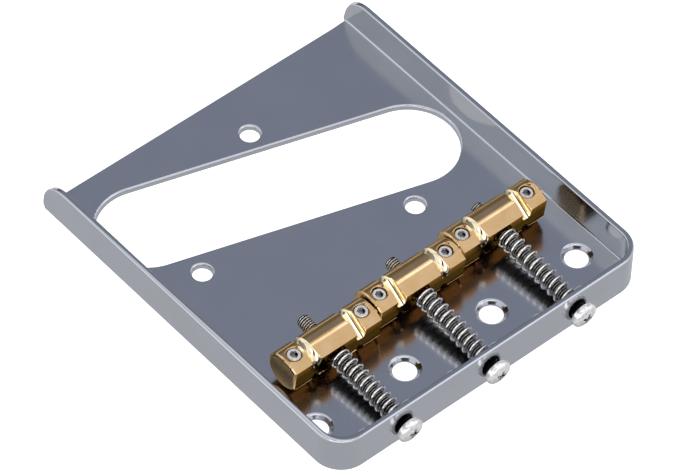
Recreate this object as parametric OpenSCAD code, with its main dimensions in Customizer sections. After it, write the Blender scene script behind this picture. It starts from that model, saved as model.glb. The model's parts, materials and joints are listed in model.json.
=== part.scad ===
// Guitar bridge with three barrel saddles on a pressed tray with side walls.
// Origin: middle of the row of body screws, on the underside. +Y is towards the neck, +X the treble side.

/* [String layout] */
// Distance between neighbouring strings
string_pitch = 10.8; // [10.2:0.1:11]

/* [Base plate] */
// Room from the outer strings to the outer faces of the side walls, half of both sides' sum
side_room = 11.3; // [11:0.1:14]
// Distance from the body screws to the rear face
plate_back = 11.4; // [11:0.1:14]
// Distance from the body screws to the neck ends of the side walls
plate_front = 74.3; // [72:0.1:80]
// How far the plate's neck edge lies behind the ends of the walls
lip_back = 0.7; // [0.3:0.1:2]
// How far the plate's middle lies to the treble side of the body screws
plate_shift = 1.1; // [0.6:0.1:1.4]
// Thickness of the plate and the walls
sheet_t = 1.2; // [1:0.1:1.4]
// Height of the walls over the underside
wall_h = 8.4; // [7.6:0.1:10]
// Outer radius of the two rear corners
corner_r = 6; // [4:0.5:8]
// Radius where the plate turns up into the walls
bend_r = 1.6; // [1:0.1:1.8]
// Radius of the walls' upper neck ends
wall_nose_r = 6; // [4:0.5:6.5]
// Radius of the walls' lower neck ends
wall_toe_r = 1.3; // [0.6:0.1:2]

/* [Holes in the plate] */
// Diameter of the four body screw holes
body_hole_d = 4.7; // [4:0.1:5]
// Diameter of their countersinks at the top
body_sink_d = 6.5; // [5.8:0.1:8]
// Diameter of the six string holes
string_hole_d = 2.4; // [1.8:0.1:3]
// Distance from the body screws back to the string holes
string_hole_back = 7.45; // [6.9:0.05:7.8]
// How far the string holes and the pickup opening lie to the treble side
string_shift = 0.3; // [0:0.1:0.6]
// Width of the small chamfer round each string hole
string_hole_ease = 0.3; // [0.1:0.05:0.4]

/* [Pickup opening] */
// Width of the slanted opening
pickup_w = 19.9; // [18:0.1:21]
// Gap between its nearer round end and that side wall
pickup_end_gap = 0.3; // [0.3:0.1:3]
// Slant of the opening
pickup_slant = 17; // [14:0.5:20]
// Gap between the opening and the plate's neck edge
pickup_neck_gap = 6.5; // [5:0.1:7.5]
// Radius rolled over the top edge of the opening and of the pickup screw holes
rolled_edge_r = 0.5; // [0.3:0.05:0.7]
// Diameter of the three pickup screw holes
pickup_hole_d = 3.95; // [3.2:0.05:4.2]
// Distance between the two screw holes on the bridge side
pickup_hole_pitch = 44; // [42:0.5:46]
// Distance of those two from the opening's centre line
pickup_hole_near = 14.5; // [13.8:0.1:15.2]
// Distance of the single neck side hole from the centre line
pickup_hole_far = 14.2; // [13.8:0.1:15]

/* [Saddles] */
// Radius of a saddle barrel
saddle_r = 3.95; // [3.7:0.05:4.2]
// Gap between neighbouring saddles
saddle_gap = 0.2; // [0.15:0.05:0.6]
// Distance from a saddle's axis to its flat rear face
saddle_flat = 3.5; // [3.3:0.05:3.65]
// How far behind the crest the sloped facet starts, as an angle
facet_start = 16; // [12:1:18]
// Slope of the facet on the rear shoulder
facet_slope = 19; // [18:0.5:26]
// Chamfer on the rims of a saddle's ends
saddle_rim = 0.35; // [0.1:0.05:0.5]
// Depth of the string grooves turned round a barrel
groove_depth = 0.4; // [0.2:0.05:0.6]
// Section radius of a string groove
groove_r = 1.15; // [0.9:0.05:1.4]
// Section radius of a string ramp, which runs back from a groove
ramp_r = 1.1; // [0.8:0.05:1.3]
// How far in front of the crest the longer string ramps start, as an angle
ramp_start = 26; // [20:1:30]
// Slope of the longer string ramps
ramp_slope = 25; // [22:0.5:30]
// Distance of the bass saddle's axis from the body screws
bass_saddle_y = 11.15; // [9.9:0.05:12.2]
// Height of the bass saddle's axis over the underside
bass_saddle_z = 5.5; // [5.4:0.05:6.6]
// Distance of the middle saddle's axis from the body screws
middle_saddle_y = 12.05; // [10.9:0.05:13.2]
// Height of the middle saddle's axis over the underside
middle_saddle_z = 6; // [5.5:0.05:6.9]
// Distance of the treble saddle's axis from the body screws
treble_saddle_y = 13.25; // [12:0.05:14.3]
// Height of the treble saddle's axis over the underside
treble_saddle_z = 5.9; // [5.5:0.05:6.8]

/* [Intonation screws] */
// How far the intonation screws lie to the treble side of the body screws
screw_shift = 0.9; // [0.6:0.1:1.2]
// Height of their holes in the rear wall
wall_hole_z = 3.25; // [3.2:0.05:3.6]
// Diameter of the holes in the rear wall
wall_hole_d = 3.5; // [3.4:0.05:3.6]
// Outer diameter of every screw's thread
thread_d = 2.9; // [2.7:0.05:3]
// Length of an intonation screw under its head
screw_len = 30; // [27:0.5:32]
// Diameter of its head
head_d = 5.25; // [4.8:0.05:5.8]
// Height of its head
head_h = 2.2; // [1.9:0.05:2.4]
// Diameter of the ring by which the head bears on the wall
bearing_d = 3.8; // [3.7:0.05:4.2]
// Height of the turned-down shoulder under the head
head_shoulder = 0.35; // [0.2:0.05:0.5]

/* [Springs] */
// Outer diameter of a spring
spring_d = 4.5; // [4.3:0.05:4.6]
// Diameter of its wire
wire_d = 0.5; // [0.4:0.05:0.6]
// How far the fillet in the corner lifts a spring's end over its screw
spring_lift = 0.25; // [0.2:0.05:0.25]
// Number of turns
spring_turns = 12; // [9:1:14]
// Gap between the wires of the closer turn at each end
end_turn_gap = 0.45; // [0.42:0.01:0.7]

/* [Height screws] */
// Distance from a saddle's middle to each of its height screws
height_screw_x = 8.2; // [8:0.05:8.7]
// Length of a height screw
height_screw_len = 8; // [7:0.1:9]
// Width across the flats of its hexagon socket
socket_w = 1.5; // [1.3:0.1:1.6]
// Depth of that socket
socket_depth = 1.6; // [1.2:0.1:2.5]
// Diameter of its flat point
point_d = 1.5; // [1:0.1:2]
// Clearance between a screw's thread and the hole that it runs in
thread_clear = 0.05; // [0.03:0.01:0.1]
// Gap under the points of the height screws, and between a head and the wall
seat_gap = 0.3; // [0.28:0.01:0.4]

/* [Hidden] */
$fn = 64;

// Overlap that makes a cut or a join clean
eps = 0.01;
// Depth by which the bend's fillet is sunk into the sheet that it joins
root = 0.6;

// Plate
plate_w = 5 * string_pitch + 2 * side_room;
plate_x = plate_w / 2;
plate_depth = plate_back + plate_front;
inner_x = plate_x - sheet_t;
inner_back = plate_back - sheet_t;
inner_r = corner_r - sheet_t;
sink_depth = (body_sink_d - body_hole_d) / 2;
far_past = 20;

// Pickup opening: the centres of its round ends, and its middle
pickup_half_x = inner_x - abs(plate_shift - string_shift) - pickup_end_gap - pickup_w / 2;
pickup_span = 2 * pickup_half_x / cos(pickup_slant);
pickup_y = plate_front - lip_back - pickup_neck_gap - pickup_w / 2 - pickup_half_x * tan(pickup_slant);

// Saddles, strings and screws: one place for each pair of strings
pair_pitch = 2 * string_pitch;
saddle_y = [bass_saddle_y, middle_saddle_y, treble_saddle_y];
saddle_z = [bass_saddle_z, middle_saddle_z, treble_saddle_z];
saddle_len = pair_pitch - saddle_gap;
saddle_end = saddle_len / 2;
groove_x = string_pitch / 2;
groove_floor = saddle_r - groove_depth;
// How far ahead of the floor's touching point the shorter ramps start, as an angle
short_ramp_lead = 6;
// The side, -1 bass and 1 treble, on which each saddle has its longer string ramp
long_side = [1, -1, 1];
thread_r = thread_d / 2;
bore_r = thread_r + thread_clear;
hinge_y = -plate_back + sheet_t / 2;

// Distance along the screw from the wall's middle to the saddle's axis, and the screw's slope
function reach(i) = norm([saddle_y[i] - hinge_y, saddle_z[i] - wall_hole_z]);
function tilt(i) = atan2(saddle_z[i] - wall_hole_z, saddle_y[i] - hinge_y);
function pair_x(i) = screw_shift + (i - 1) * pair_pitch;

// The head stands off so that its lower edge clears the wall at the screw's steepest setting
steepest = 4.5;
bearing_r = bearing_d / 2;
function head_off(i) = (sheet_t / 2 + bearing_r * sin(tilt(i) + steepest)) / cos(tilt(i) + steepest) + 0.02;

// Ridge where the sloped facet starts, in the saddle's section, and the facet's distance from the axis
ridge = [-saddle_r * sin(facet_start), saddle_r * cos(facet_start)];
facet_off = -ridge[0] * sin(facet_slope) + ridge[1] * cos(facet_slope);

// Colours
chrome = [0.62, 0.64, 0.68];
brass = [0.80, 0.66, 0.42];
nickel = [0.86, 0.86, 0.84];
spring_steel = [0.72, 0.72, 0.72];

// Base plate

// The plate's outline, round at the rear corners and open towards the neck
module tray_outline(half_w, back, r) {
    translate([-half_w, -back + r]) square([2 * half_w, far_past + plate_depth]);
    translate([-half_w + r, -back]) square([2 * (half_w - r), r + 1]);
    for (side = [-1, 1]) translate([side * (half_w - r), -back + r]) circle(r);
}

// The walls' outline seen from the side, with round neck ends
module wall_side() {
    translate([-plate_back, 0]) square([plate_depth - wall_nose_r, wall_h]);
    translate([-plate_back, 0]) square([plate_depth - wall_toe_r, wall_h - wall_nose_r]);
    translate([-plate_back, wall_toe_r])
        square([plate_depth, wall_h - wall_nose_r - wall_toe_r]);
    translate([plate_front - wall_nose_r, wall_h - wall_nose_r]) circle(wall_nose_r);
    translate([plate_front - wall_toe_r, wall_toe_r]) circle(wall_toe_r);
}

// Section of the fillet between plate and wall: the wall lies at x = 0, the plate at y = 0
module bend_section() {
    difference() {
        translate([-root, -root]) square(bend_r + root);
        translate([bend_r, bend_r]) circle(bend_r);
    }
}

module bends() {
    side_len = inner_back + plate_front - inner_r - lip_back;
    translate([0, 0, sheet_t]) {
        for (side = [0, 1]) mirror([side, 0, 0]) {
            translate([-inner_x, -inner_back + inner_r + side_len, 0])
                rotate([90, 0, 0]) linear_extrude(side_len) bend_section();
            translate([-inner_x + inner_r, -inner_back + inner_r, 0])
                rotate([0, 0, 180]) rotate_extrude(angle = 90) translate([inner_r, 0])
                    mirror([1, 0]) bend_section();
        }
        translate([-inner_x + inner_r, -inner_back, 0]) rotate([90, 0, 90])
            linear_extrude(2 * (inner_x - inner_r)) bend_section();
    }
}

// What a rolled edge takes away around a straight cut: the section lies at x >= 0, under y = 0
module rolled_section() {
    difference() {
        translate([-eps, -rolled_edge_r]) square([rolled_edge_r + eps, rolled_edge_r + eps]);
        translate([rolled_edge_r, -rolled_edge_r]) circle(rolled_edge_r);
    }
}

module rolled_hole(r) {
    translate([0, 0, -1]) cylinder(h = sheet_t + 2, r = r);
    translate([0, 0, sheet_t]) rotate_extrude() translate([r, 0]) rolled_section();
}

module pickup_place() {
    translate([string_shift, pickup_y, 0]) rotate([0, 0, -pickup_slant]) children();
}

module pickup_slot(h) {
    for (side = [-1, 1]) translate([side * pickup_span / 2, 0, -1]) cylinder(h = h + 1, r = pickup_w / 2);
    translate([-pickup_span / 2, -pickup_w / 2, -1]) cube([pickup_span, pickup_w, h + 1]);
}

module pickup_rolled_edge() {
    translate([0, 0, sheet_t]) {
        for (side = [0, 180]) rotate([0, 0, side]) {
            translate([pickup_span / 2, 0, 0]) rotate([0, 0, -90])
                rotate_extrude(angle = 180) translate([pickup_w / 2, 0]) rolled_section();
            translate([pickup_span / 2, pickup_w / 2, 0]) rotate([90, 0, -90])
                linear_extrude(pickup_span) mirror([1, 0]) rolled_section();
        }
    }
}

module pickup_screw_holes() {
    translate([0, pickup_hole_far, 0]) rolled_hole(pickup_hole_d / 2);
    for (side = [-1, 1]) translate([side * pickup_hole_pitch / 2, -pickup_hole_near, 0])
        rolled_hole(pickup_hole_d / 2);
}

module body_screw_hole() {
    translate([0, 0, -1]) cylinder(h = sheet_t + 2, r = body_hole_d / 2);
    translate([0, 0, sheet_t - sink_depth]) cylinder(h = sink_depth, r1 = body_hole_d / 2, r2 = body_sink_d / 2);
    translate([0, 0, sheet_t - eps]) cylinder(h = bend_r, r = body_sink_d / 2 - eps);
}

module string_hole() {
    translate([0, 0, -1]) cylinder(h = sheet_t + 2, r = string_hole_d / 2);
    translate([0, 0, sheet_t - string_hole_ease])
        cylinder(h = string_hole_ease + eps, r1 = string_hole_d / 2,
            r2 = string_hole_d / 2 + string_hole_ease + eps);
}

module sheet() {
    translate([plate_shift, 0, 0]) difference() {
        intersection() {
            linear_extrude(wall_h) tray_outline(plate_x, plate_back, corner_r);
            rotate([90, 0, 90]) translate([0, 0, -plate_w]) linear_extrude(2 * plate_w) wall_side();
        }
        translate([0, 0, sheet_t]) linear_extrude(wall_h)
            tray_outline(inner_x, inner_back, inner_r);
        translate([-inner_x, plate_front - lip_back, -1]) cube([2 * inner_x, lip_back + 1, wall_h]);
    }
}

module base_plate() {
    color(chrome) difference() {
        union() {
            difference() {
                sheet();
                pickup_place() pickup_rolled_edge();
            }
            translate([plate_shift, 0, 0]) bends();
        }
        pickup_place() {
            pickup_slot(wall_h);
            pickup_screw_holes();
        }
        for (k = [-3, -1, 1, 3]) translate([k * string_pitch, 0, 0]) body_screw_hole();
        for (k = [-5 : 2 : 5]) translate([string_shift + k * string_pitch / 2, -string_hole_back, 0])
            string_hole();
        for (i = [0 : 2]) translate([pair_x(i), -plate_back + sheet_t + 1, wall_hole_z])
            rotate([90, 0, 0]) cylinder(h = sheet_t + 2, r = wall_hole_d / 2);
    }
}

// Places: y runs along the screw from the middle of the rear wall, and z is square to it

module along_screw(i) {
    translate([pair_x(i), hinge_y, wall_hole_z]) rotate([tilt(i), 0, 0]) children();
}

module at_saddle(i) {
    along_screw(i) translate([0, reach(i), 0]) children();
}

// Saddles

module barrel() {
    rotate([0, 90, 0]) {
        translate([0, 0, -saddle_end + saddle_rim])
            cylinder(h = saddle_len - 2 * saddle_rim, r = saddle_r);
        for (end = [0, 1]) mirror([0, 0, end]) translate([0, 0, saddle_end - saddle_rim - eps])
            cylinder(h = saddle_rim + eps, r1 = saddle_r + eps, r2 = saddle_r - saddle_rim);
    }
}

// The square block behind the crest, and what its facet and rear face leave of it
module shoulder() {
    translate([-saddle_end, -saddle_flat - 1, 0]) cube([saddle_len, saddle_flat + 1, ridge[1] - 0.1]);
}

module above_facet() {
    rotate([facet_slope, 0, 0]) translate([-saddle_len, -3 * saddle_r, facet_off])
        cube([2 * saddle_len, 4 * saddle_r, saddle_r]);
}

module behind_flat() {
    translate([-saddle_len, -3 * saddle_r, -2 * saddle_r])
        cube([2 * saddle_len, 3 * saddle_r - saddle_flat, 4 * saddle_r]);
}

// Chamfer on the rim of a flat face, which lies at a distance from the axis and leans back
module flat_rim(lean, off, from) {
    rim = saddle_rim * sqrt(2);
    for (side = [-1, 1]) rotate([lean, 0, 0]) translate([side * saddle_end, from - 2 * saddle_r, off])
        rotate([0, 45, 0]) cube([rim, 4 * saddle_r, rim], center = true);
}

// Groove turned round the barrel
module turned_groove() {
    rotate([0, 90, 0]) rotate_extrude() translate([groove_floor + groove_r, 0]) circle(groove_r);
}

// Ramp that runs back and down through a point on the groove's floor, starting a little ahead of it
module string_ramp(start, slope, ahead) {
    translate([0, -groove_floor * sin(start), groove_floor * cos(start)])
        rotate([slope, 0, 0]) translate([0, ahead, ramp_r]) rotate([90, 0, 0])
            cylinder(h = 3 * saddle_r, r = ramp_r);
}

module height_screw_hole() {
    translate([0, 0, -saddle_r - 1]) cylinder(h = 2 * saddle_r + 2, r = bore_r);
    translate([0, 0, saddle_r - 0.5]) cylinder(h = 0.65, r1 = bore_r, r2 = bore_r + 0.65);
}

module saddle(long) {
    color(brass) difference() {
        union() {
            barrel();
            shoulder();
        }
        above_facet();
        behind_flat();
        flat_rim(facet_slope, facet_off, -0.7);
        flat_rim(90, saddle_flat, 2 * saddle_r);
        for (side = [-1, 1]) translate([side * groove_x, 0, 0]) turned_groove();
        translate([long * groove_x, 0, 0]) string_ramp(-ramp_start, ramp_slope, saddle_r);
        translate([-long * groove_x, 0, 0]) string_ramp(facet_slope - short_ramp_lead, facet_slope, 0);
        for (side = [-1, 1]) translate([side * height_screw_x, 0, 0]) height_screw_hole();
        translate([0, 2 * saddle_r, 0]) rotate([90, 0, 0]) cylinder(h = 4 * saddle_r, r = bore_r);
    }
}

// Intonation screws

// The domed head, with its bearing face at y = 0 and its crown towards -y
module screw_head() {
    crown_r = (pow(head_d / 2, 2) + pow(head_h * 0.5, 2)) / head_h + 0.35;
    difference() {
        intersection() {
            union() {
                rotate([90, 0, 0]) cylinder(h = head_shoulder, r1 = bearing_r, r2 = head_d / 2);
                translate([0, -head_shoulder, 0]) rotate([90, 0, 0]) cylinder(h = head_h, r = head_d / 2);
            }
            translate([0, -head_h + crown_r, 0]) sphere(crown_r);
        }
        for (turn = [0, 90]) rotate([0, turn + 20, 0]) translate([0, -head_h, 0])
            cube([2.6, 2 * 1.2, 0.55], center = true);
    }
}

module intonation_screw(i) {
    along_screw(i) color(nickel) translate([0, -head_off(i), 0]) {
        screw_head();
        rotate([-90, 0, 0]) translate([0, 0, -head_shoulder])
            cylinder(h = screw_len + head_shoulder - 0.5, r = thread_r);
        translate([0, screw_len - 0.5, 0]) rotate([-90, 0, 0])
            cylinder(h = 0.5, r1 = thread_r, r2 = thread_r - 0.4);
    }
}

// Springs: one round wire wound right-handed about the y axis

wire_r = wire_d / 2;
coil_r = (spring_d - wire_d) / 2;
wire_sides = 6;
rings_per_turn = 8;
end_pitch = wire_d + end_turn_gap;

// Both ends stay clear of the wall and the saddle
function spring_from(i) = (sheet_t / 2 + spring_d / 2 * sin(tilt(i) + steepest)) / cos(tilt(i) + steepest) + 0.02;
function spring_to(i) = reach(i) - saddle_flat - 0.05;

// Place along the axis after a number of turns: one close turn at each end, even turns between
function wound(i, t) =
    let (from = spring_from(i) + wire_r,
         to = spring_to(i) - wire_r,
         mid_pitch = (to - from - 2 * end_pitch) / (spring_turns - 2))
    t <= 1 ? from + t * end_pitch
    : t >= spring_turns - 1 ? to - (spring_turns - t) * end_pitch
    : from + end_pitch + (t - 1) * mid_pitch;

// Centre line of the wire: it starts and ends with a straight piece one wire long
function lifted(t) = spring_lift * (1 - t / spring_turns);
function coil_point(i, t) = [coil_r * sin(360 * t), wound(i, t), coil_r * cos(360 * t) + lifted(t)];
function unit(v) = v / norm(v);
function coil_line(i) =
    let (n = spring_turns * rings_per_turn,
         line = [for (k = [0 : n]) coil_point(i, k / rings_per_turn)],
         lead_in = line[0] - wire_d * [1, 0, 0],
         lead_out = line[n] + wire_d * [1, 0, 0])
    concat([lead_in], line, [lead_out]);

// Triangles of a tube along a line, closed by a flat cap at each end
module tube(line, r, sides) {
    n = len(line);
    points = [for (k = [0 : n - 1])
        let (ahead = unit(line[min(k + 1, n - 1)] - line[max(k - 1, 0)]),
             across = unit(cross([0, 1, 0], ahead)),
             up = cross(ahead, across))
        for (s = [0 : sides - 1])
            line[k] + r * (cos(360 * s / sides) * across + sin(360 * s / sides) * up)];
    walls = [for (k = [0 : n - 2]) for (s = [0 : sides - 1])
        let (a = k * sides + s, b = k * sides + (s + 1) % sides)
        each [[a, b, a + sides], [b, b + sides, a + sides]]];
    first_cap = [for (s = [1 : sides - 2]) [0, s + 1, s]];
    last = (n - 1) * sides;
    last_cap = [for (s = [1 : sides - 2]) [last, last + s, last + s + 1]];
    polyhedron(points, concat(walls, first_cap, last_cap));
}

module spring(i) {
    along_screw(i) color(spring_steel) tube(coil_line(i), wire_r, wire_sides);
}

// Least gap between one turn's wire and the next, taken on the points of the centre lines
function self_gap(i) =
    let (line = coil_line(i), n = len(line))
    min([for (a = [0 : n - rings_per_turn]) for (b = [a + rings_per_turn - 2 : min(a + rings_per_turn + 3, n - 1)])
        norm(line[b] - line[a])]) - wire_d;
for (i = [0 : 2]) echo(str("least gap of spring ", i + 1, " to itself, mm: ", self_gap(i)));

// Height screws: headless, with a hexagon socket on top and a flat point on the plate

module height_screw(i, side) {
    point_r = point_d / 2;
    seat_z = sheet_t + seat_gap + point_r * sin(tilt(i));
    drop = (saddle_z[i] - seat_z) / cos(tilt(i));
    cone = thread_r - point_r;
    at_saddle(i) color(nickel) translate([side * height_screw_x, 0, -drop]) difference() {
        union() {
            cylinder(h = cone, r1 = point_r, r2 = thread_r);
            translate([0, 0, cone]) cylinder(h = height_screw_len - cone - 0.2, r = thread_r);
            translate([0, 0, height_screw_len - 0.2]) cylinder(h = 0.2, r1 = thread_r, r2 = thread_r - 0.2);
        }
        translate([0, 0, height_screw_len - socket_depth])
            cylinder(h = socket_depth + 1, r = socket_w / sqrt(3), $fn = 6);
    }
}

base_plate();
at_saddle(0) saddle(long_side[0]);  // bass_saddle
at_saddle(1) saddle(long_side[1]);  // middle_saddle
at_saddle(2) saddle(long_side[2]);  // treble_saddle
intonation_screw(0);  // bass_intonation_screw
intonation_screw(1);  // middle_intonation_screw
intonation_screw(2);  // treble_intonation_screw
spring(0);  // bass_spring
spring(1);  // middle_spring
spring(2);  // treble_spring
height_screw(0, -1);  // height_screw_1
height_screw(0, 1);  // height_screw_2
height_screw(1, -1);  // height_screw_3
height_screw(1, 1);  // height_screw_4
height_screw(2, -1);  // height_screw_5
height_screw(2, 1);  // height_screw_6
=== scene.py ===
import json
import math

import bmesh
import bpy
from mathutils import Matrix, Vector


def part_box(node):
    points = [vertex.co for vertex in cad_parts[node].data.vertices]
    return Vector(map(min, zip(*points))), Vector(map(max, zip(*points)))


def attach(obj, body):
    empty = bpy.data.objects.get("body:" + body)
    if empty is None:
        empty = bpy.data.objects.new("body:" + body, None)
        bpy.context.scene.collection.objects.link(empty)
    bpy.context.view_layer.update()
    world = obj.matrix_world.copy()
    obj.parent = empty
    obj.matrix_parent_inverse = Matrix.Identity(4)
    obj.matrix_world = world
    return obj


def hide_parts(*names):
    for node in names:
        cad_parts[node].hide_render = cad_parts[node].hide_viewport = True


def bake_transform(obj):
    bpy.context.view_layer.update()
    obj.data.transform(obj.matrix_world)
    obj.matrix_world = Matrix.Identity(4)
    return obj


# A guitar bridge: a chromed tray, three brass barrel saddles, and their screws and springs
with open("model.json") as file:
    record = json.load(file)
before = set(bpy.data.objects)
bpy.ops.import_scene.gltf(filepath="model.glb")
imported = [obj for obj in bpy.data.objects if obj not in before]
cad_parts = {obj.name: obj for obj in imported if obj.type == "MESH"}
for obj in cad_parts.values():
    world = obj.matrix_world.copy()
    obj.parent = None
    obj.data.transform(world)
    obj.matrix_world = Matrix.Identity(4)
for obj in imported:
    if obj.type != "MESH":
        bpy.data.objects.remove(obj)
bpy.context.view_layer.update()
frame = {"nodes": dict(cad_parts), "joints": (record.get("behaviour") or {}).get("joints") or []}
nodes = frame["nodes"]
joints = {joint["name"]: joint for joint in frame["joints"]}
mm = 0.001
closeBy = 0.02 * mm  # places nearer to each other than this are the same
columns = ("bass", "middle", "treble")


# Helpers for materials
def linear(hexColour):
    channels = [int(hexColour[i:i + 2], 16) / 255 for i in (1, 3, 5)]
    return [c / 12.92 if c <= 0.04045 else ((c + 0.055) / 1.055) ** 2.4 for c in channels] + [1.0]


def addNode(tree, kind, links=None, out=0, **settings):
    # Adds a node with its settings and links, and gives back one of its outputs
    node = tree.nodes.new("ShaderNode" + kind)
    for name, value in settings.items():
        setattr(node, name, value)
    for name, value in (links or {}).items():
        if isinstance(value, bpy.types.NodeSocket):
            tree.links.new(value, node.inputs[name])
        else:
            node.inputs[name].default_value = linear(value) if isinstance(value, str) else value
    return node.outputs[out] if node.outputs else node


def newMaterial(name):
    material = bpy.data.materials.new(name)
    material.use_nodes = True
    tree = material.node_tree
    tree.nodes.clear()
    return material, tree


def unevenness(tree, periods, detail):
    # Soft noise over the piece, 0 to 1: periods are its real sizes in mm along x, y and z
    place = addNode(tree, "TexCoord", out="Object")
    scale = [1 / (period * mm) for period in periods]
    place = addNode(tree, "VectorMath", {0: place, 1: scale}, operation="MULTIPLY")
    return addNode(tree, "TexNoise", {"Vector": place, "Scale": 1.0, "Detail": detail, "Roughness": 0.5}, out="Fac")


def facing(tree, axis, low, high):
    # 0 to 1 as the surface turns towards an axis of the piece's own frame
    normal = addNode(tree, "TexCoord", out="Normal")
    turned = addNode(tree, "VectorMath", {0: normal, 1: axis}, out="Value", operation="DOT_PRODUCT")
    return addNode(tree, "MapRange", {"Value": turned, "From Min": low, "From Max": high})


# Decorative chrome on pressed and polished steel: a cool mirror, slightly wavy, with a very fine haze
chromeValues = {"colour": "#c3c5ca", "worn": "#c0c2c8", "roughness": 0.10, "haze": 0.03,
                "flatTop": 1.5, "flatFade": 0.6, "flatHaze": 0.06,
                "waveSize": 9.0, "waveHeight": 0.0012, "grainSize": 0.45, "grainHeight": 0.00012}


def chromePlate():
    v = chromeValues
    material, tree = newMaterial("polishedChromePlate")
    wave = unevenness(tree, [v["waveSize"]] * 3, detail=1.0)
    grain = unevenness(tree, [v["grainSize"]] * 3, detail=3.0)
    bump = addNode(tree, "Bump", {"Height": wave, "Distance": v["waveHeight"] * mm, "Strength": 1.0})
    bump = addNode(tree, "Bump", {"Height": grain, "Distance": v["grainHeight"] * mm, "Strength": 1.0,
                                  "Normal": bump})
    rough = addNode(tree, "MapRange", {"Value": grain, "From Min": 0.3, "From Max": 0.7,
                                       "To Min": v["roughness"], "To Max": v["roughness"] + v["haze"]})
    # The flat is polished less than the walls and the rim
    height = addNode(tree, "SeparateXYZ", {0: addNode(tree, "TexCoord", out="Object")}, out="Z")
    flat = addNode(tree, "MapRange", {"Value": height, "From Min": v["flatTop"] * mm,
                                      "From Max": (v["flatTop"] + v["flatFade"]) * mm,
                                      "To Min": v["flatHaze"], "To Max": 0.0})
    rough = addNode(tree, "Math", {0: rough, 1: flat}, operation="ADD")
    share = addNode(tree, "MapRange", {"Value": wave, "From Min": 0.35, "From Max": 0.65})
    colour = addNode(tree, "Mix", {"Factor": share, "A": v["colour"], "B": v["worn"]}, out="Result",
                     data_type="RGBA")
    shader = addNode(tree, "BsdfPrincipled", {"Base Color": colour, "Metallic": 1.0, "Roughness": rough,
                                              "Normal": bump})
    addNode(tree, "OutputMaterial", {"Surface": shader})
    return material


# Turned and lightly polished brass: warm, with fine rings round the barrel from the lathe.
# Its back has painted shade, brown, darkest at the foot and lighter higher up, and its underside has painted shade
# too.
brassValues = {"colour": "#d9b789", "deep": "#cda976", "edge": "#ecdcbc", "roughness": (0.09, 0.18),
               "patchSize": 3.0, "ringWidth": 0.16, "ringLength": 4.0, "ringHeight": 0.0007,
               "shade": "#8f5e28", "foot": "#361c0c", "footHeights": (6.2, 8.4), "under": "#74481c",
               "backTurn": (0.8, 0.93), "lowTurn": (0.1, 0.4), "underTurn": (0.45, 0.7)}

# The string ramps, painted pale and bright as a painted highlight
rampValues = {**brassValues, "colour": "#fff2d2", "deep": "#f8e4b6", "edge": "#fff6e0", "roughness": (0.06, 0.15)}


def turnedBrass(name, v):
    material, tree = newMaterial(name)
    rings = unevenness(tree, [v["ringWidth"], v["ringLength"], v["ringLength"]], detail=3.0)
    patches = unevenness(tree, [v["patchSize"]] * 3, detail=3.0)
    bump = addNode(tree, "Bump", {"Height": rings, "Distance": v["ringHeight"] * mm, "Strength": 1.0})
    share = addNode(tree, "MapRange", {"Value": patches, "From Min": 0.35, "From Max": 0.7})
    colour = addNode(tree, "Mix", {"Factor": share, "A": v["colour"], "B": v["deep"]}, out="Result",
                     data_type="RGBA")
    # Painted shade on the back and the underside, darkest at the foot
    height = addNode(tree, "SeparateXYZ", {0: addNode(tree, "TexCoord", out="Object")}, out="Z")
    low, high = v["footHeights"]
    share = addNode(tree, "MapRange", {"Value": height, "From Min": low * mm, "From Max": high * mm})
    paintedShade = addNode(tree, "Mix", {"Factor": share, "A": v["foot"], "B": v["shade"]}, out="Result",
                    data_type="RGBA")
    for axis, turn, tone in (((0, -1, 0), v["backTurn"], paintedShade), ((0, 0, -1), v["lowTurn"], paintedShade),
                             ((0, 0, -1), v["underTurn"], v["under"])):
        share = facing(tree, axis, *turn)
        colour = addNode(tree, "Mix", {"Factor": share, "A": colour, "B": tone}, out="Result", data_type="RGBA")
    low, high = v["roughness"]
    rough = addNode(tree, "MapRange", {"Value": patches, "From Min": 0.3, "From Max": 0.7,
                                       "To Min": low, "To Max": high})
    shader = addNode(tree, "BsdfPrincipled", {"Base Color": colour, "Specular Tint": v["edge"], "Metallic": 1.0,
                                              "Roughness": rough, "Normal": bump})
    addNode(tree, "OutputMaterial", {"Surface": shader})
    return material


# Bright nickel on the machine screws: nearly white, soft from the plating barrel, so that not all of it mirrors
nickelValues = {"colour": "#f4f2ee", "dull": "#d4d1cb", "paintedUnderShade": "#8a8883", "metal": 0.7,
                "roughness": (0.2, 0.28), "grainSize": 0.35, "grainHeight": 0.0012}

# The screw heads, painted whiter than the rest as a painted sheen
headValues = {**nickelValues, "colour": "#ffffff", "dull": "#e2dfdb", "paintedUnderShade": "#a5a39e", "metal": 0.72,
              "roughness": (0.17, 0.25), "grainSize": 0.6}

# Drawn spring wire, bright with a trace of the die, and with painted shade on the underside of each turn
wireValues = {**nickelValues, "colour": "#fbfaf8", "dull": "#dedbd6", "paintedUnderShade": "#33312e", "metal": 1.0,
              "roughness": (0.12, 0.2), "grainSize": 0.25}

# Cut thread roots: the same plating, made dark as painted shade
rootValues = {**nickelValues, "colour": "#383634", "dull": "#201e1d", "paintedUnderShade": "#201e1d", "metal": 1.0,
              "roughness": (0.35, 0.43), "grainSize": 0.3}


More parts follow.
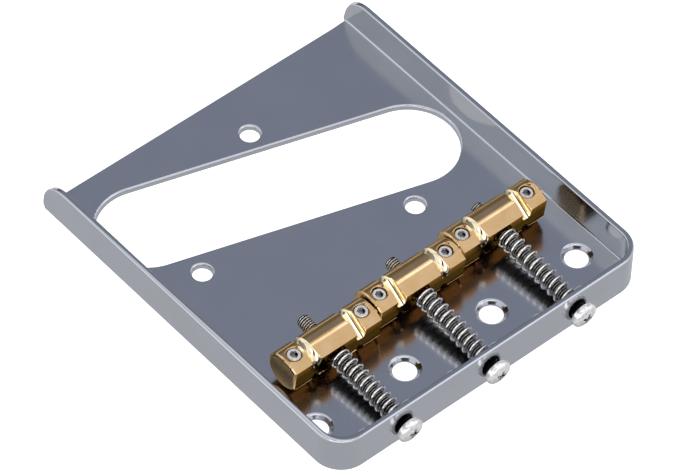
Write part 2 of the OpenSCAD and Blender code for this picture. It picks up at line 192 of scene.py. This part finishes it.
def nickelPlate(name, v):
    material, tree = newMaterial(name)
    grain = unevenness(tree, [v["grainSize"]] * 3, detail=3.0)
    bump = addNode(tree, "Bump", {"Height": grain, "Distance": v["grainHeight"] * mm, "Strength": 1.0})
    share = addNode(tree, "MapRange", {"Value": grain, "From Min": 0.35, "From Max": 0.65})
    colour = addNode(tree, "Mix", {"Factor": share, "A": v["colour"], "B": v["dull"]}, out="Result",
                     data_type="RGBA")
    # Painted shade: darker on the faces that turn downwards
    share = facing(tree, (0, 0, -1), 0.0, 0.5)
    colour = addNode(tree, "Mix", {"Factor": share, "A": colour, "B": v["paintedUnderShade"]}, out="Result",
                     data_type="RGBA")
    low, high = v["roughness"]
    rough = addNode(tree, "MapRange", {"Value": grain, "From Min": 0.3, "From Max": 0.7,
                                       "To Min": low, "To Max": high})
    shader = addNode(tree, "BsdfPrincipled", {"Base Color": colour, "Metallic": v["metal"], "Roughness": rough,
                                              "Normal": bump})
    addNode(tree, "OutputMaterial", {"Surface": shader})
    return material


chrome = chromePlate()
brass = turnedBrass("turnedBrass", brassValues)
rampBrass = turnedBrass("paleBrassRampPaintedHighlight", rampValues)
nickel = nickelPlate("brightNickel", nickelValues)
headNickel = nickelPlate("whiteNickelHeadPaintedSheen", headValues)
wire = nickelPlate("drawnSpringWire", wireValues)
threadRoot = nickelPlate("paintedShadeThreadRoot", rootValues)
print("materials made")


# Helpers for pieces
def addPiece(name, bm, material, body, replaced, sharp=35):
    mesh = bpy.data.meshes.new(name)
    bm.to_mesh(mesh)
    bm.free()
    mesh.shade_smooth()
    mesh.set_sharp_from_angle(angle=math.radians(sharp))
    mesh.materials.append(material)
    piece = bpy.data.objects.new(name, mesh)
    bpy.context.scene.collection.objects.link(piece)
    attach(piece, body)
    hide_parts(replaced)
    return piece


def columnPlace(column):
    # Axes at the column's pivot: x across, y along the screw, z square to both
    joint = joints[column + "_screw_turn"]
    along = Vector(joint["axis"]).normalized()
    across = Vector((1, 0, 0))
    up = across.cross(along)
    return Matrix.Translation(Vector(joint["pos_m"])) @ Matrix((across, along, up)).transposed().to_4x4()


def nodeSpan(name, place, axis):
    inverse = place.inverted()
    values = [(inverse @ vertex.co)[axis] for vertex in nodes[name].data.vertices]
    return min(values), max(values)


def cleanCopy(name):
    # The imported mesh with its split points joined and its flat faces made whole
    bm = bmesh.new()
    bm.from_mesh(nodes[name].data)
    bmesh.ops.remove_doubles(bm, verts=bm.verts, dist=0.0005 * mm)
    bmesh.ops.dissolve_limit(bm, angle_limit=math.radians(0.4), verts=bm.verts, edges=bm.edges)
    return bm


def roundEdges(piece, width, segments, weightOf):
    # weightOf gives the share of the width that an edge gets, from the edge's middle
    mesh = piece.data
    weights = mesh.attributes.new("bevel_weight_edge", "FLOAT", "EDGE")
    sharp = mesh.attributes["sharp_edge"]
    for edge in mesh.edges:
        if sharp.data[edge.index].value:
            first, second = (mesh.vertices[i].co for i in edge.vertices)
            weights.data[edge.index].value = weightOf((first + second) / 2)
    bevel = piece.modifiers.new("rounded edges", "BEVEL")
    bevel.limit_method = "WEIGHT"
    bevel.width = width
    bevel.segments = segments
    bevel.use_clamp_overlap = False  # one short edge would otherwise hold back every other
    bevel.harden_normals = False
    weighted = piece.modifiers.new("even shading", "WEIGHTED_NORMAL")
    weighted.keep_sharp = True


# Base plate, in mm. lean is how far in the foot of a side wall's inner face stands: it starts at leanFrom along y,
# is full at leanFull and fades over leanEnd at the neck. The rim is rounded by rimRound along the bass side, which
# falls to farShare of it over the bassOver before bassFrom; the far side has farShare of it throughout, and the rear
# rearShare. At the neck ends of the walls the rounding starts at the height nose and is full noseOver higher.
plateValues = {"sheet": 1.2, "cornerRound": 6.0, "bend": 1.6, "tightBend": 0.4,
               "lean": 0.95, "leanFrom": -5.0, "leanFull": 1.0, "leanEnd": 7.0,
               "rimRound": 0.85, "rearShare": 0.38, "farShare": 0.4, "bassFrom": 60, "bassOver": 45,
               "innerRound": 0.28, "nose": 2.0, "noseOver": 3, "noseReach": 7.0,
               "holeRound": 0.06, "pickupRound": 0.6, "pickupFrom": 15, "drawnFrom": 2.9, "drawnOver": 3,
               "wallBand": 3.4, "rimStep": 6, "rimSteps": 11}


def buildPlate():
    v = plateValues
    low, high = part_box("base_plate")
    middleX, cornerRound = (low.x + high.x) / 2, v["cornerRound"] * mm

    def insideBy(point):
        # Distance from the outline to a point inside it
        across = high.x - middleX - abs(point.x - middleX)
        back = point.y - low.y
        if across < cornerRound and back < cornerRound:
            return cornerRound - math.hypot(cornerRound - across, cornerRound - back)
        return min(across, back)

    def inward(point):
        across = high.x - middleX - abs(point.x - middleX)
        back = point.y - low.y
        sign = 1 if point.x < middleX else -1
        if across < cornerRound and back < cornerRound:
            return Vector((sign * (cornerRound - across), cornerRound - back, 0)).normalized()
        return Vector((sign, 0, 0)) if across < back else Vector((0, 1, 0))

    # The pressed bend is tighter inside than the solid's, and the side walls' inner faces lean out a little
    bm = cleanCopy("base_plate")
    sheet, bend, tight = v["sheet"] * mm, v["bend"] * mm, v["tightBend"] * mm
    for vertex in bm.verts:
        inside, height = insideBy(vertex.co), vertex.co.z
        if inside < sheet - closeBy or inside > sheet + bend - closeBy or height < sheet + closeBy:
            continue
        share = (vertex.co.y / mm - v["leanFrom"]) / (v["leanFull"] - v["leanFrom"])
        share = min(share, (high.y - vertex.co.y) / mm / v["leanEnd"], 1.0)
        lean = v["lean"] * mm * max(0.0, share)
        if height < sheet + bend - closeBy:
            angle = math.atan2(sheet + bend - inside, sheet + bend - height)
            newHeight = sheet + tight - tight * math.cos(angle)
            newInside = sheet + tight - tight * math.sin(angle)
        else:
            newHeight = high.z - (high.z - height) * (high.z - sheet - tight) / (high.z - sheet - bend)
            newInside = inside
        newInside += lean * (high.z - newHeight) / (high.z - sheet)
        vertex.co += inward(vertex.co) * (newInside - inside)
        vertex.co.z = newHeight
    # Shorter rim edges, so that the rounding can grow along the bass wall
    for step in range(1, v["rimSteps"] + 1):
        wall = [face for face in bm.faces if all(w.co.x < low.x + v["wallBand"] * mm for w in face.verts)]
        around = wall + [e for face in wall for e in face.edges] + [w for face in wall for w in face.verts]
        bmesh.ops.bisect_plane(bm, geom=list(dict.fromkeys(around)), plane_co=(0, v["rimStep"] * step * mm, 0),
                               plane_no=(0, 1, 0))
    bm.normal_update()
    piece = addPiece("trayWithWalls", bm, chrome, "plate", "base_plate", sharp=30)

    def weightOf(middle):
        inside = insideBy(middle)
        if middle.y < low.y + sheet + bend and 0.1 * mm < middle.z < high.z - 1 * mm:
            return 0.0
        if middle.z < v["nose"] * mm:
            if inside < 0.3 * mm:
                return 0.0
            # The edges of the pickup opening and its screw holes are drawn in by the punch
            drawn = 0.0
            if middle.y > v["pickupFrom"] * mm and abs(middle.z - sheet) < closeBy:
                drawn = min(1.0, max(0.0, inside / mm - v["drawnFrom"]) / v["drawnOver"])
            return (v["holeRound"] + (v["pickupRound"] - v["holeRound"]) * drawn) / v["rimRound"]
        if middle.z > high.z - closeBy or middle.y > high.y - v["noseReach"] * mm:
            share = min(1.0, (middle.z / mm - v["nose"]) / v["noseOver"])
            if inside > 0.3 * mm:
                return v["innerRound"] * share / v["rimRound"]
            # Rounder on the bass side than at the back and on the treble side
            turn = min(1.0, max(0.0, (low.y + cornerRound - middle.y) / cornerRound))
            side = v["farShare"]
            if middle.x < middleX:
                side += (1 - side) * min(1.0, max(0.0, (v["bassFrom"] - middle.y / mm) / v["bassOver"]))
            return share * (side + (v["rearShare"] - side) * turn)
        return v["holeRound"] / v["rimRound"]

    roundEdges(piece, v["rimRound"] * mm, 4, weightOf)


# Saddles, in mm
saddleValues = {"endRound": 0.18, "edgeRound": 0.03, "lip": 0.18, "lipDepth": 0.03, "lipFoot": 0.06,
                "rampFrom": 3.4, "rampTo": 6.6}


def buildSaddle(column):
    v = saddleValues
    name = column + "_saddle"
    place = columnPlace(column)
    up, along = place.to_3x3() @ Vector((0, 0, 1)), place.to_3x3() @ Vector((0, 1, 0))
    bm = cleanCopy(name)
    # The turning burr along the foot of the back catches the light
    rear = min(vertex.co.dot(along) for vertex in bm.verts) + v["lipDepth"] * mm

    def backFaces():
        return [face for face in bm.faces if all(vertex.co.dot(along) < rear for vertex in face.verts)]

    back = backFaces()
    foot = min(vertex.co.dot(up) for face in back for vertex in face.verts)
    around = back + [e for face in back for e in face.edges] + [w for face in back for w in face.verts]
    bmesh.ops.bisect_plane(bm, geom=list(dict.fromkeys(around)), plane_co=up * (foot + v["lip"] * mm), plane_no=up)
    footEnd = foot + v["lipFoot"] * mm
    for vertex in {w for face in backFaces() for w in face.verts if w.co.dot(up) < footEnd}:
        vertex.co -= along * v["lip"] * mm
    piece = addPiece(column + "Barrel", bm, brass, name, name, sharp=20)
    ends = [limit(vertex.co.x for vertex in piece.data.vertices) for limit in (min, max)]
    # The string ramps take the pale brass of the painted highlight
    piece.data.materials.append(rampBrass)
    for face in piece.data.polygons:
        across = abs(face.center.x - sum(ends) / 2) / mm
        if v["rampFrom"] < across < v["rampTo"] and 0.05 < abs(face.normal.x) < 0.98:
            face.material_index = 1

    def weightOf(middle):
        atEnd = min(abs(middle.x - end) for end in ends) < closeBy
        return 1.0 if atEnd else v["edgeRound"] / v["endRound"]

    roundEdges(piece, v["endRound"] * mm, 3, weightOf)


# Turned shapes: rings of points round the y axis of place
def ringPoints(bm, place, radius, height, count):
    points = []
    for i in range(count):
        angle = 2 * math.pi * i / count
        points.append(bm.verts.new(place @ Vector((radius * math.sin(angle), height, radius * math.cos(angle)))))
    return points


def bridgeRings(bm, first, second):
    count = len(first)
    for i in range(count):
        j = (i + 1) % count
        bm.faces.new((first[i], first[j], second[j], second[i]))


def latheShape(bm, place, profile, count):
    # profile runs from one end on the axis to the other, as (radius, height) in mm
    tips = [bm.verts.new(place @ Vector((0, height * mm, 0))) for radius, height in (profile[0], profile[-1])]
    rings = [ringPoints(bm, place, radius * mm, height * mm, count) for radius, height in profile[1:-1]]
    for first, second in zip(rings, rings[1:]):
        bridgeRings(bm, first, second)
    for i in range(count):
        j = (i + 1) % count
        bm.faces.new((tips[0], rings[0][j], rings[0][i]))
        bm.faces.new((tips[1], rings[-1][i], rings[-1][j]))


def threadRadius(v, height, angle, ends):
    # Radius of a cut thread, run out to the core at both ends of its length. The crest takes 0.07 of a pitch to
    # either side of its middle, and each flank 0.33.
    phase = (height / v["pitch"] - angle / (2 * math.pi)) % 1
    depth = min(1.0, max(0.0, 1 - (abs(phase - 0.5) - 0.07) / 0.33))
    runOut = min(1.0, (height - ends[0]) / v["pitch"], (ends[1] - height) / v["pitch"])
    return v["core"] + (v["outer"] - v["core"]) * depth * max(0.0, runOut)


def threadedRod(bm, place, v, start, end, count=24, perPitch=8):
    steps = int(round((end - start) / v["pitch"] * perPitch))
    rings = []
    for k in range(steps + 1):
        height = start + (end - start) * k / steps
        ring = []
        for i in range(count):
            angle = 2 * math.pi * i / count
            radius = threadRadius(v, height, angle, (start, end)) * mm
            point = Vector((radius * math.sin(angle), height * mm, radius * math.cos(angle)))
            ring.append(bm.verts.new(place @ point))
        rings.append(ring)
    for first, second in zip(rings, rings[1:]):
        bridgeRings(bm, first, second)
    # Painted shade: the roots are dark up to a share of the thread's depth
    inverse = place.inverted()
    for face in bm.faces:
        middle = inverse @ face.calc_center_median()
        share = v["tipShare"] if middle.y > (end - v["tipLength"]) * mm else v["rootShare"]
        if middle.y < (start + v["darkLength"]) * mm:
            share = 2.0  # past the crest, so that all of the thread is dark beside the head
        if math.hypot(middle.x, middle.z) < (v["core"] + (v["outer"] - v["core"]) * share) * mm:
            face.material_index = 1
    bm.faces.new(rings[0][::-1])
    bm.faces.new(rings[-1])


def meshFrom(bm, name):
    bmesh.ops.recalc_face_normals(bm, faces=bm.faces)
    mesh = bpy.data.meshes.new(name)
    bm.to_mesh(mesh)
    bm.free()
    return mesh


def cutAway(piece, cutterMesh):
    cutter = bpy.data.objects.new("cutter", cutterMesh)
    bpy.context.scene.collection.objects.link(cutter)
    boolean = piece.modifiers.new("recess", "BOOLEAN")
    boolean.operation = "DIFFERENCE"
    boolean.solver = "EXACT"
    boolean.object = cutter
    bpy.context.view_layer.update()
    graph = bpy.context.evaluated_depsgraph_get()
    cut = bpy.data.meshes.new_from_object(piece.evaluated_get(graph))
    piece.modifiers.clear()
    piece.data = cut
    bpy.data.objects.remove(cutter)
    cut.shade_smooth()
    cut.set_sharp_from_angle(angle=math.radians(35))


# Intonation screws, in mm: pan heads with a cross recess, and a cut M3 thread
screwValues = {"headRadius": 2.72, "headHeight": 2.2, "dome": 5.2, "edge": 0.75, "shoulder": 0.44, "bearing": 1.9,
               "slotWidth": 0.62, "slotReach": 1.35, "slotDepth": 1.2, "slotFoot": (0.45, 0.7), "slotTurn": 20,
               "pitch": 0.5, "outer": 1.45, "core": 1.12, "rootShare": 0.78, "tipShare": 0.45, "tipLength": 4.5,
               "darkLength": 1.3, "darkRadius": 2.2}


def headProfile(v, seat):
    # From the crown on the axis down over the side to the bearing face; heights go towards -y
    r, h, e = v["headRadius"], v["headHeight"], v["edge"]
    crown = []
    for k in range(7):
        radius = (r - e) * k / 6
        crown.append((radius, seat - h + v["dome"] - math.sqrt(v["dome"] ** 2 - radius ** 2)))
    # The side turns through a quarter circle, drawn out a little in height
    low = crown[-1][1]
    side = []
    for k in range(1, 7):
        angle = math.radians(15 * k)
        side.append((r - e + e * math.sin(angle), low + e * 1.05 * (1 - math.cos(angle))))
    # A cone under the head leaves room for the wall when the screw tilts
    skirt = [(r, seat - v["shoulder"] - 0.1), (r - 0.05, seat - v["shoulder"])]
    under = [(r - 0.22, seat - 0.33), (r - 0.52, seat - 0.19), (v["bearing"], seat - 0.03),
             (v["outer"], seat - 0.03), (0, seat - 0.03)]
    return crown + side + skirt + under


def slotCutter(v, place, seat, turn):
    bm = bmesh.new()
    top = seat - v["headHeight"] - 0.3
    around = place @ Matrix.Rotation(math.radians(turn + v["slotTurn"]), 4, "Y")
    # The recess narrows from its mouth to its foot
    footReach, footWidth = v["slotFoot"]
    half = v["slotWidth"] / 2
    corners = []
    for reach, height, side in ((v["slotReach"], top, half),
                                (v["slotReach"] * footReach, top + 0.3 + v["slotDepth"], half * footWidth)):
        corners += [(sx * reach, height, sz * side) for sx, sz in ((-1, -1), (1, -1), (1, 1), (-1, 1))]
    made = [bm.verts.new(around @ (Vector(corner) * mm)) for corner in corners]
    for face in ((3, 2, 1, 0), (4, 5, 6, 7), (0, 1, 5, 4), (1, 2, 6, 5), (2, 3, 7, 6), (3, 0, 4, 7)):
        bm.faces.new([made[i] for i in face])
    return meshFrom(bm, "slotCutter")


def buildIntonationScrew(column):
    v = screwValues
    name = column + "_intonation_screw"
    place = columnPlace(column)
    low, high = (value / mm for value in nodeSpan(name, place, 1))
    seat = low + v["headHeight"]
    bm = bmesh.new()
    latheShape(bm, place, headProfile(v, seat), 48)
    bmesh.ops.recalc_face_normals(bm, faces=bm.faces)
    piece = addPiece(column + "ScrewHead", bm, headNickel, column + "_screw", name)
    for turn in (0, 90):
        cutAway(piece, slotCutter(v, place, seat, turn))
    # Painted shade: dark in the recess and under the head
    piece.data.materials.append(threadRoot)
    inverse = place.inverted()
    for face in piece.data.polygons:
        middle = (inverse @ face.center) / mm
        depth = middle.y - seat + v["headHeight"]
        deep = math.hypot(middle.x, middle.z) < v["slotReach"] and 0.3 < depth < v["slotDepth"] + 0.1
        if deep or (middle.y > seat - 0.3 and math.hypot(middle.x, middle.z) < v["darkRadius"]):
            face.material_index = 1
    bm = bmesh.new()
    threadedRod(bm, place, v, seat - 0.3, high)
    bmesh.ops.recalc_face_normals(bm, faces=bm.faces)
    thread = addPiece(column + "ScrewThread", bm, nickel, column + "_screw", name, sharp=60)
    thread.data.materials.append(threadRoot)


# Height screws, in mm: M3 set screws with a hexagon socket and a flat point
setScrewValues = {"socket": 1.5, "socketDepth": 1.0, "point": 0.75, "sunk": 0.4,
                  "pitch": 0.5, "outer": 1.45, "core": 1.12, "rootShare": 0.5, "tipShare": 0.5, "tipLength": 1.0,
                  "darkLength": 0.0}


def hexCutter(v, place, top):
    bm = bmesh.new()
    radius = v["socket"] / math.sqrt(3) * mm
    rings = [ringPoints(bm, place, radius, height * mm, 6) for height in (top - v["socketDepth"], top + 1)]
    bridgeRings(bm, *rings)
    bm.faces.new(rings[0][::-1])
    bm.faces.new(rings[1])
    return meshFrom(bm, "hexCutter")


def buildHeightScrew(number):
    v = setScrewValues
    name = "height_screw_%d" % number
    column = columns[(number - 1) // 2]
    along = columnPlace(column)
    # The screw's own axes: y up along it, in the middle of its node
    points = [along.inverted() @ vertex.co for vertex in nodes[name].data.vertices]
    middle = [(min(p[i] for p in points) + max(p[i] for p in points)) / 2 for i in range(3)]
    low, high = (value / mm for value in nodeSpan(name, along, 2))
    # The top stands lower than the solid's, level with the brass round it
    high -= v["sunk"]
    place = along @ Matrix.Translation((middle[0], middle[1], 0)) @ Matrix.Rotation(math.pi / 2, 4, "X")
    bm = bmesh.new()
    cone = v["outer"] - v["point"]
    profile = [(0, low), (v["point"], low), (v["core"], low + cone - 0.25), (v["core"], low + cone + 0.3),
               (v["core"], high - 0.55), (v["outer"] - 0.04, high - 0.4), (v["outer"] - 0.05, high - 0.3),
               (v["outer"] - 0.19, high - 0.03), (v["outer"] - 0.23, high), (0, high)]
    latheShape(bm, place, profile, 36)
    bmesh.ops.recalc_face_normals(bm, faces=bm.faces)
    piece = addPiece("setScrewCore%d" % number, bm, nickel, name, name)
    cutAway(piece, hexCutter(v, place, high))
    bm = bmesh.new()
    threadedRod(bm, place, v, low + cone - 0.2, high - 0.3)
    bmesh.ops.recalc_face_normals(bm, faces=bm.faces)
    thread = addPiece("setScrewThread%d" % number, bm, nickel, name, name, sharp=60)
    thread.data.materials.append(threadRoot)
    cutAway(thread, hexCutter(v, place, high))


# Springs, in mm: round wire wound right-handed, with closed end turns
springValues = {"outer": 4.5, "wire": 0.5, "turns": 12, "lift": 0.25, "endPitch": 0.6, "endTurns": 1,
                "sides": 12, "stepsPerTurn": 28}


def buildSpring(column):
    v = springValues
    name = column + "_spring"
    place = columnPlace(column)
    low, high = (value / mm for value in nodeSpan(name, place, 1))
    wireRadius = v["wire"] / 2
    first, last = low + wireRadius, high - wireRadius
    radius = v["outer"] / 2 - wireRadius
    middlePitch = (last - first - 2 * v["endTurns"] * v["endPitch"]) / (v["turns"] - 2 * v["endTurns"])

    def height(turn):
        # Closer turns at each end, and even ones between them
        if turn <= v["endTurns"]:
            return first + turn * v["endPitch"]
        if turn >= v["turns"] - v["endTurns"]:
            return last - (v["turns"] - turn) * v["endPitch"]
        return first + v["endTurns"] * v["endPitch"] + (turn - v["endTurns"]) * middlePitch

    steps = v["turns"] * v["stepsPerTurn"]
    line = []
    for k in range(steps + 1):
        turn = k / v["stepsPerTurn"]
        angle = 2 * math.pi * turn + math.pi
        lift = v["lift"] * (1 - turn / v["turns"])
        line.append(Vector((radius * math.sin(angle), height(turn), radius * math.cos(angle) + lift)))
    bm = bmesh.new()
    rings = []
    for k, point in enumerate(line):
        ahead = (line[min(k + 1, steps)] - line[max(k - 1, 0)]).normalized()
        across = Vector((0, 1, 0)).cross(ahead).normalized()
        up = ahead.cross(across)
        ring = []
        for s in range(v["sides"]):
            angle = 2 * math.pi * s / v["sides"]
            offset = (across * math.cos(angle) + up * math.sin(angle)) * wireRadius
            ring.append(bm.verts.new(place @ ((point + offset) * mm)))
        rings.append(ring)
    for one, two in zip(rings, rings[1:]):
        bridgeRings(bm, one, two)
    bm.faces.new(rings[0][::-1])
    bm.faces.new(rings[-1])
    bmesh.ops.recalc_face_normals(bm, faces=bm.faces)
    body = column + "_spring_and_pivot"
    piece = addPiece(column + "Coil", bm, wire, body, name, sharp=60)
    piece.parent = None  # the coil is stretched between two bodies, so it hangs on neither
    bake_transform(piece)


buildPlate()
print("plate made")
for column in columns:
    buildSaddle(column)
    buildIntonationScrew(column)
    buildSpring(column)
for number in range(1, 7):
    buildHeightScrew(number)
print("saddles, screws and springs made")

# The CAD nodes that are replaced keep a material of their own kind
for name, node in nodes.items():
    finish = chrome if name == "base_plate" else brass if "saddle" in name else wire if "spring" in name else nickel
    node.data.materials.clear()
    node.data.materials.append(finish)

# Stage: a pale floor. To the camera it is plain white paper, and in the metal it carries a painted shadow round the
# part, grey up to near and fading to white by far, in mm
floorValues = {"size": 3.0, "seen": 0.8, "paper": "#dcdcdc", "paintedShadowNear": "#cbccd0", "farColour": "#ffffff",
               "near": 60, "far": 90}


def buildFloor():
    v = floorValues
    bm = bmesh.new()
    bmesh.ops.create_grid(bm, x_segments=1, y_segments=1, size=v["size"] / 2)
    mesh = bpy.data.meshes.new("paleFloor")
    bm.to_mesh(mesh)
    bm.free()
    floor = bpy.data.objects.new("paleFloor", mesh)
    floor.location = (0, 0.03, -0.02 * mm)
    bpy.context.scene.collection.objects.link(floor)
    material, tree = newMaterial("palePaper")
    paper = addNode(tree, "BsdfDiffuse", {"Color": v["paper"]})
    glow = addNode(tree, "Emission", {"Color": "#ffffff", "Strength": v["seen"]})
    lit = addNode(tree, "AddShader", {0: paper, 1: glow})
    # Painted shadow seen in the metal: darker near the part
    place = addNode(tree, "TexCoord", out="Object")
    away = addNode(tree, "VectorMath", {0: place}, out="Value", operation="LENGTH")
    share = addNode(tree, "MapRange", {"Value": away, "From Min": v["near"] * mm, "From Max": v["far"] * mm})
    colour = addNode(tree, "Mix", {"Factor": share, "A": v["paintedShadowNear"], "B": v["farColour"]}, out="Result",
                     data_type="RGBA")
    dim = addNode(tree, "Emission", {"Color": colour})
    seen = addNode(tree, "LightPath", out="Is Camera Ray")
    shader = addNode(tree, "MixShader", {0: seen, 1: dim, 2: lit})
    addNode(tree, "OutputMaterial", {"Surface": shader})
    mesh.materials.append(material)


# Studio: a bright tent with darker and brighter patches. place is a patch's azimuth and elevation, half its half
# width and height, and soft the width of its faded edge, all in degrees; colours are the light's strength.
tentColour = (0.95, 0.96, 1.0)
patches = [
    {"name": "backdrop", "place": (47.5, 30), "half": (34, 32), "soft": 16, "colour": (0.285, 0.313, 0.384)},
    {"name": "low backdrop", "place": (48, 8), "half": (44, 18), "soft": 16, "colour": (0.18, 0.18, 0.195)},
    {"name": "side light", "place": (152, 16), "half": (16, 12), "soft": 10, "colour": (1.3, 1.32, 1.36)},
    {"name": "rear light", "place": (-52, 39), "half": (15, 14), "soft": 6, "colour": (1.6, 1.6, 1.65)},
    {"name": "corner light", "place": (224, 12), "half": (34, 15), "soft": 6, "colour": (2.2, 2.2, 2.25)},
    {"name": "top light", "place": (-118, 62), "half": (20, 7), "soft": 7, "colour": (2.2, 2.2, 2.2)},
    {"name": "wall flag", "place": (142, 42), "half": (13, 11), "soft": 8, "colour": (0.72, 0.76, 0.78)},
    {"name": "camera", "place": (228, 41), "half": (24, 9), "soft": 6, "colour": (0.02, 0.02, 0.025)},
    {"name": "key light", "place": (10, 63), "half": (8, 5), "soft": 8, "colour": (2.0, 2.1, 2.35)},
]


def direction(azimuth, elevation):
    a, e = math.radians(azimuth), math.radians(elevation)
    return Vector((math.cos(a) * math.cos(e), math.sin(a) * math.cos(e), math.sin(e)))


def buildStudio():
    world = bpy.data.worlds.new("softStudio")
    bpy.context.scene.world = world
    world.use_nodes = True
    tree = world.node_tree
    tree.nodes.clear()
    look = addNode(tree, "TexCoord", out="Generated")
    colour = addNode(tree, "CombineColor", dict(enumerate(tentColour)))
    for patch in patches:
        axis = direction(*patch["place"])
        side = Vector((0, 0, 1)).cross(axis).normalized()
        ahead = addNode(tree, "VectorMath", {0: look, 1: axis}, out="Value", operation="DOT_PRODUCT")
        mask = addNode(tree, "Math", {0: ahead, 1: 0.05}, operation="GREATER_THAN")
        soft = math.radians(patch["soft"]) / 2
        for lateral, half in zip((side, axis.cross(side)), patch["half"]):
            aside = addNode(tree, "VectorMath", {0: look, 1: lateral}, out="Value", operation="DOT_PRODUCT")
            aside = addNode(tree, "Math", {0: aside}, operation="ABSOLUTE")
            angle = addNode(tree, "Math", {0: aside, 1: ahead}, operation="ARCTAN2")
            edge = math.radians(half)
            fade = addNode(tree, "MapRange", {"Value": angle, "From Min": edge - soft, "From Max": edge + soft,
                                              "To Min": 1.0, "To Max": 0.0}, interpolation_type="SMOOTHSTEP")
            mask = addNode(tree, "Math", {0: mask, 1: fade}, operation="MULTIPLY")
        colour = addNode(tree, "Mix", {"Factor": mask, "A": colour, "B": (*patch["colour"], 1.0)}, out="Result",
                         data_type="RGBA")
    background = addNode(tree, "Background", {"Color": colour, "Strength": 1.0})
    addNode(tree, "OutputWorld", {"Surface": background})


# Camera: solved from the photograph. Place in metres in the part's frame, focal length in pixels of the image
cameraValues = {"place": (-0.46742, -0.47872, 0.81160), "right": (0.757563, -0.652216, 0.026693),
                "forward": (0.439092, 0.478903, -0.760165), "focal": 5627.64, "imageWidth": 680, "sensor": 36.0}


def buildCamera():
    v = cameraValues
    data = bpy.data.cameras.new("photoCamera")
    data.sensor_fit = "HORIZONTAL"
    data.sensor_width = v["sensor"]
    data.lens = v["focal"] * v["sensor"] / v["imageWidth"]
    data.clip_start, data.clip_end = 0.1, 20.0
    camera = bpy.data.objects.new("photoCamera", data)
    right, forward = Vector(v["right"]).normalized(), Vector(v["forward"]).normalized()
    up = right.cross(forward)
    turn = Matrix((right, up, -forward)).transposed().to_4x4()
    camera.matrix_world = Matrix.Translation(Vector(v["place"])) @ turn
    bpy.context.scene.collection.objects.link(camera)
    bpy.context.scene.camera = camera


buildFloor()
buildStudio()
buildCamera()
bpy.context.scene.view_settings.view_transform = "Standard"
print("stage, light and camera made")
